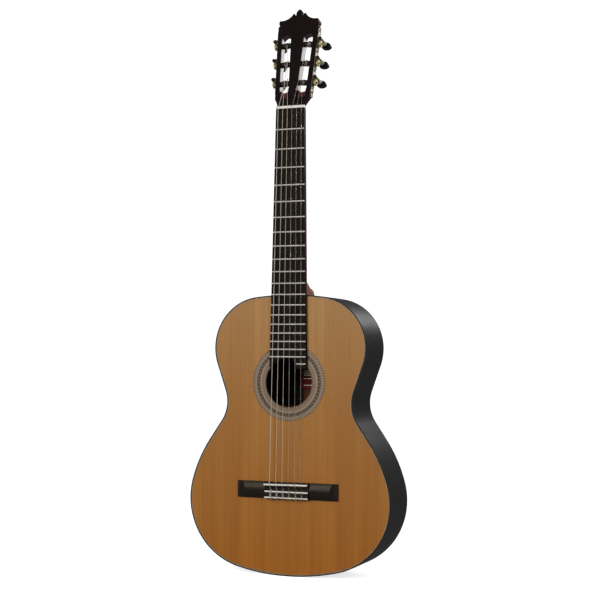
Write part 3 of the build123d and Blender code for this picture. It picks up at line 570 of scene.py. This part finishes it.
def smooth_points(points, steps=10):
    """A Catmull-Rom curve through the points."""
    full = [points[0] * 2 - points[1], *points, points[-1] * 2 - points[-2]]
    result = []
    for a, b, c, d in zip(full, full[1:], full[2:], full[3:]):
        for step in range(steps):
            t = step / steps
            square = (2 * a - 5 * b + 4 * c - d) * t ** 2
            cube = (3 * b - a - 3 * c + d) * t ** 3
            result.append(0.5 * (2 * b + (c - a) * t + square + cube))
    return [*result, points[-1]]


def tube_mesh(name, path, radius, sides):
    """A closed round tube that follows a list of points."""
    mesh = bmesh.new()
    normal = (path[1] - path[0]).normalized().orthogonal().normalized()
    loops = []
    for before, point, after in zip([path[0], *path], path, [*path[1:], path[-1]]):
        along = (after - before).normalized()
        normal = (normal - along * normal.dot(along)).normalized()
        other = along.cross(normal)
        loop = []
        for side in range(sides):
            angle = 2 * math.pi * side / sides
            loop.append(mesh.verts.new(point + (normal * math.cos(angle) + other * math.sin(angle)) * radius))
        loops.append(loop)
    mesh.faces.new(list(reversed(loops[0])))
    for lower, upper in zip(loops, loops[1:]):
        join_loops(mesh, lower, upper)
    mesh.faces.new(loops[-1])
    return finish_mesh(mesh, name, 50)


def lathe_mesh(name, profile, start, along):
    """A turned shape: pairs of distance along an axis and radius, with closed ends."""
    turn = along.to_track_quat("Z", "Y")
    mesh = bmesh.new()
    loops = []
    for distance, radius in profile:
        loop = []
        for side in range(LATHE_SIDES):
            angle = 2 * math.pi * side / LATHE_SIDES
            point = Vector((radius * math.cos(angle), radius * math.sin(angle), distance))
            loop.append(mesh.verts.new(start + turn @ point))
        loops.append(loop)
    for lower, upper in zip(loops, loops[1:]):
        join_loops(mesh, lower, upper)
    mesh.faces.new(list(reversed(loops[0])))
    mesh.faces.new(loops[-1])
    return finish_mesh(mesh, name, 40)


def ring_mesh(name, centre, along):
    """A closed round ring about an axis."""
    turn = along.to_track_quat("Z", "Y")
    mesh = bmesh.new()
    loops = []
    for step in range(RING_SIDES):
        around = 2 * math.pi * step / RING_SIDES
        loop = []
        for side in range(WIRE_SIDES):
            angle = 2 * math.pi * side / WIRE_SIDES
            reach = RING_R + RING_WIRE * math.cos(angle)
            point = Vector((reach * math.cos(around), reach * math.sin(around), RING_WIRE * math.sin(angle)))
            loop.append(mesh.verts.new(centre + turn @ point))
        loops.append(loop)
    for lower, upper in zip(loops, [*loops[1:], loops[0]]):
        join_loops(mesh, lower, upper)
    return finish_mesh(mesh, name, 60)


def string_slot(number):
    return "clear_nylon" if number <= 3 else "wound_string"


def string_ends(number):
    """A string's radius, and the middles of its two ends: in the tie block and at its roller."""
    points = [vertex.co for vertex in frame["nodes"][f"string_{number}"].data.vertices]
    low = min(point.z for point in points)
    high = max(point.z for point in points)
    tail = [point for point in points if point.z < low + TAIL_SLICE]
    tip = [point for point in points if point.z > high - TIP_SLICE]
    radius = (max(point.x for point in tail) - min(point.x for point in tail)) / 2
    return radius, sum(tail, Vector()) / len(tail), sum(tip, Vector()) / len(tip)


def make_tie(number):
    """A string's tie: from its hole over the block, round its own string and back to the tail edge."""
    radius, tail, _ = string_ends(number)
    x = tail.x
    block_top = bridge_face - BLOCK_HIGH - radius
    hole_y = tail.y
    rear = bridge_low
    front = bridge_low + BLOCK_LONG
    lift = 2.1 * radius
    path = [
        (x, hole_y, rear - 0.4 * MM),
        (x + 0.4 * MM, hole_y - 0.8 * MM, rear - 1.3 * MM),
        (x + 0.9 * MM, block_top + 1.4 * MM, rear - 1.0 * MM),
        (x + 1.2 * MM, block_top - lift, rear + 1.2 * MM),
        (x + 1.3 * MM, block_top - 0.3 * lift, rear + 4.0 * MM),
        (x + 1.2 * MM, block_top, front - 3.2 * MM),
        (x + 1.1 * MM, block_top, front - 0.6 * MM),
        (x + 1.0 * MM, block_top + 1.4 * MM, front + 1.0 * MM),
        (x + 0.4 * MM, hole_y + 0.5 * MM, front + 1.7 * MM),
        (x - 0.4 * MM, hole_y + 0.4 * MM, front + 1.7 * MM),
        (x - 1.0 * MM, block_top + 1.4 * MM, front + 1.0 * MM),
        (x - 1.1 * MM, block_top, front - 0.6 * MM),
        (x - 1.0 * MM, block_top, front - 3.4 * MM),
        (x - 0.2 * MM, block_top, rear + 3.4 * MM),
        (x + 1.6 * MM, block_top, rear + 1.5 * MM),
        (x + 4.2 * MM, block_top, rear + 1.2 * MM),
        (x + 6.6 * MM, block_top - 0.5 * radius, rear + 1.4 * MM),
    ]
    points = smooth_points([Vector(point) for point in path], 6)
    mesh = tube_mesh(f"string_tie_{number}", points, radius, 10)
    new_piece(f"string_tie_{number}", mesh, None, "guitar", string_slot(number))


def make_winding(number):
    """A string's turns on its roller, outwards from where it lands, and its loose end on the other side."""
    radius, _, tip = string_ends(number)
    joint = JOINTS[f"roller_turn_{number}"]
    along = Vector(joint["axis"]).normalized()
    if along.x * tip.x < 0:
        along = -along
    centre = Vector(joint["pos_m"])
    centre += along * (tip - centre).dot(along)
    face = tip - centre
    face = (face - along * face.dot(along)).normalized()
    other = along.cross(face)
    if other.z < 0:
        other = -other
    reach = ROLLER_R + radius + WINDING_GAP
    path = []
    for step in range(-1, int(WINDING_TURNS * WINDING_STEPS)):
        angle = 2 * math.pi * step / WINDING_STEPS
        out = along * (WINDING_PITCH * radius * max(step, 0) / WINDING_STEPS)
        path.append(centre + out + (face * math.cos(angle) + other * math.sin(angle)) * reach)
    mesh = tube_mesh(f"string_winding_{number}", path, radius, 8)
    # the bass coils take the darker metal, which is partly painted shade
    look = COIL_METAL_SHADED.material if number > 3 else None
    new_piece(f"string_winding_{number}", mesh, look, f"roller_unit_{number}", string_slot(number))
    start = centre - along * 2.4 * radius
    knot = [
        start + other * (ROLLER_R - 0.6 * MM),
        start + other * (ROLLER_R + 1.0 * MM) - along * 0.2 * MM,
        start + other * (ROLLER_R + 1.9 * MM) - along * 1.2 * MM + face * 0.8 * MM,
        start + other * (ROLLER_R + 1.3 * MM) - along * 2.3 * MM + face * 1.6 * MM,
        start + other * (ROLLER_R + 2.6 * MM) - along * 2.7 * MM + face * 3.0 * MM,
    ]
    mesh = tube_mesh(f"string_tail_{number}", smooth_points(knot, 6), radius, 8)
    new_piece(f"string_tail_{number}", mesh, look, f"roller_unit_{number}", string_slot(number))


def make_ferrule(number):
    """The turned metal collar between a worm's ears and its button."""
    joint = JOINTS[f"key_turn_{number}"]
    back = Vector(joint["axis"]).normalized()
    if back.y < 0:
        back = -back
    worm = Vector(joint["pos_m"])
    button = [vertex.co for vertex in frame["nodes"][f"button_{number}"].data.vertices]
    end = min((point - worm).dot(back) for point in button)
    profile = [(distance * MM, radius * MM) for distance, radius in FERRULE]
    mesh = lathe_mesh(f"button_ferrule_{number}", profile, worm + back * (end - FERRULE_LENGTH), back)
    new_piece(f"button_ferrule_{number}", mesh, FERRULE_METAL.material, f"tuning_key_{number}", "aged_brass")


def make_plate_rings():
    """Beaded rings pressed into each plate about the roller axles."""
    for number in range(1, 7):
        joint = JOINTS[f"roller_turn_{number}"]
        along = Vector(joint["axis"]).normalized()
        centre = Vector(joint["pos_m"])
        if along.x * centre.x < 0:
            along = -along
        mesh = ring_mesh(f"plate_ring_{number}", centre + along * PLATE, along)
        new_piece(f"plate_ring_{number}", mesh, None, "guitar", "brass")


for string_number in range(1, 7):
    make_tie(string_number)
    make_winding(string_number)
    make_ferrule(string_number)
make_plate_rings()


# ---- scene ----
FLOOR_GLOW = 0.74
WORLD = 0.14
FLOOR_HALF = 5.0                  # metres, across
FLOOR_FRONT = -3.2
FLOOR_BEND = 1.6                  # where the floor starts to curve up
BEND_R = 1.2
BEND_STEPS = 12
BACKDROP_TOP = 4.5


def make_stage():
    """A pale floor that curves up into a backdrop. It glows a little, and casts no reflection."""
    floor_z = cad_low.z
    profile = [(FLOOR_FRONT, 0.0), (FLOOR_BEND, 0.0)]
    for step in range(1, BEND_STEPS + 1):
        angle = math.pi / 2 * step / BEND_STEPS
        profile.append((FLOOR_BEND + BEND_R * math.sin(angle), BEND_R * (1 - math.cos(angle))))
    profile.append((FLOOR_BEND + BEND_R, BACKDROP_TOP))
    mesh = bmesh.new()
    rows = [[mesh.verts.new((x, y, floor_z + z)) for y, z in profile] for x in (-FLOOR_HALF, FLOOR_HALF)]
    for index in range(len(profile) - 1):
        mesh.faces.new((rows[0][index], rows[1][index], rows[1][index + 1], rows[0][index + 1]))
    data = bpy.data.meshes.new("floor")
    mesh.to_mesh(data)
    mesh.free()
    data.shade_smooth()
    floor = bpy.data.objects.new("floor", data)
    bpy.context.scene.collection.objects.link(floor)
    floor.visible_glossy = False
    floor.visible_diffuse = False
    nodes = Nodes("floor")
    haze = nodes.noise(nodes.stretch((3, 3, 3)), detail=3)
    nodes.set(color=nodes.ramp(haze, [(0.3, grey(0.90)), (0.7, grey(0.94))]), rough=0.85)
    nodes.shader.inputs["Emission Color"].default_value = grey(1.0)
    nodes.shader.inputs["Emission Strength"].default_value = FLOOR_GLOW
    data.materials.append(nodes.material)


def area_light(name, place, target, size, power, mirrored=False):
    """A soft panel. Only a mirrored one shows in glossy surfaces."""
    data = bpy.data.lights.new(name, "AREA")
    data.shape = "RECTANGLE"
    data.size, data.size_y = size
    data.energy = power
    light = bpy.data.objects.new(name, data)
    light.location = place
    light.rotation_euler = (Vector(target) - Vector(place)).to_track_quat("-Z", "Y").to_euler()
    light.visible_glossy = mirrored
    bpy.context.scene.collection.objects.link(light)


def make_light():
    middle = (0, 0, FRET_12 - 0.1)
    area_light("key", (-0.95, -2.6, 0.45), middle, (1.2, 1.2), 57)
    area_light("fill", (2.2, -2.0, 0.5), middle, (1.6, 2.0), 32)
    area_light("rim", (1.8, 1.5, 1.3), middle, (1.0, 1.6), 12, True)
    area_light("gloss", (-0.68, -2.3, 0.12), middle, (1.1, 1.1), 6.0, True)
    area_light("head_gloss", (0.72, 1.81, 0.58), (0, 0, 0.1), (0.8, 0.7), 7, True)
    world = bpy.data.worlds.new("studio")
    world.use_nodes = True
    background = world.node_tree.nodes["Background"]
    background.inputs["Color"].default_value = (1.0, 1.0, 1.0, 1.0)
    background.inputs["Strength"].default_value = WORLD
    bpy.context.scene.world = world
    bpy.context.scene.view_settings.view_transform = "Standard"


make_stage()
make_light()
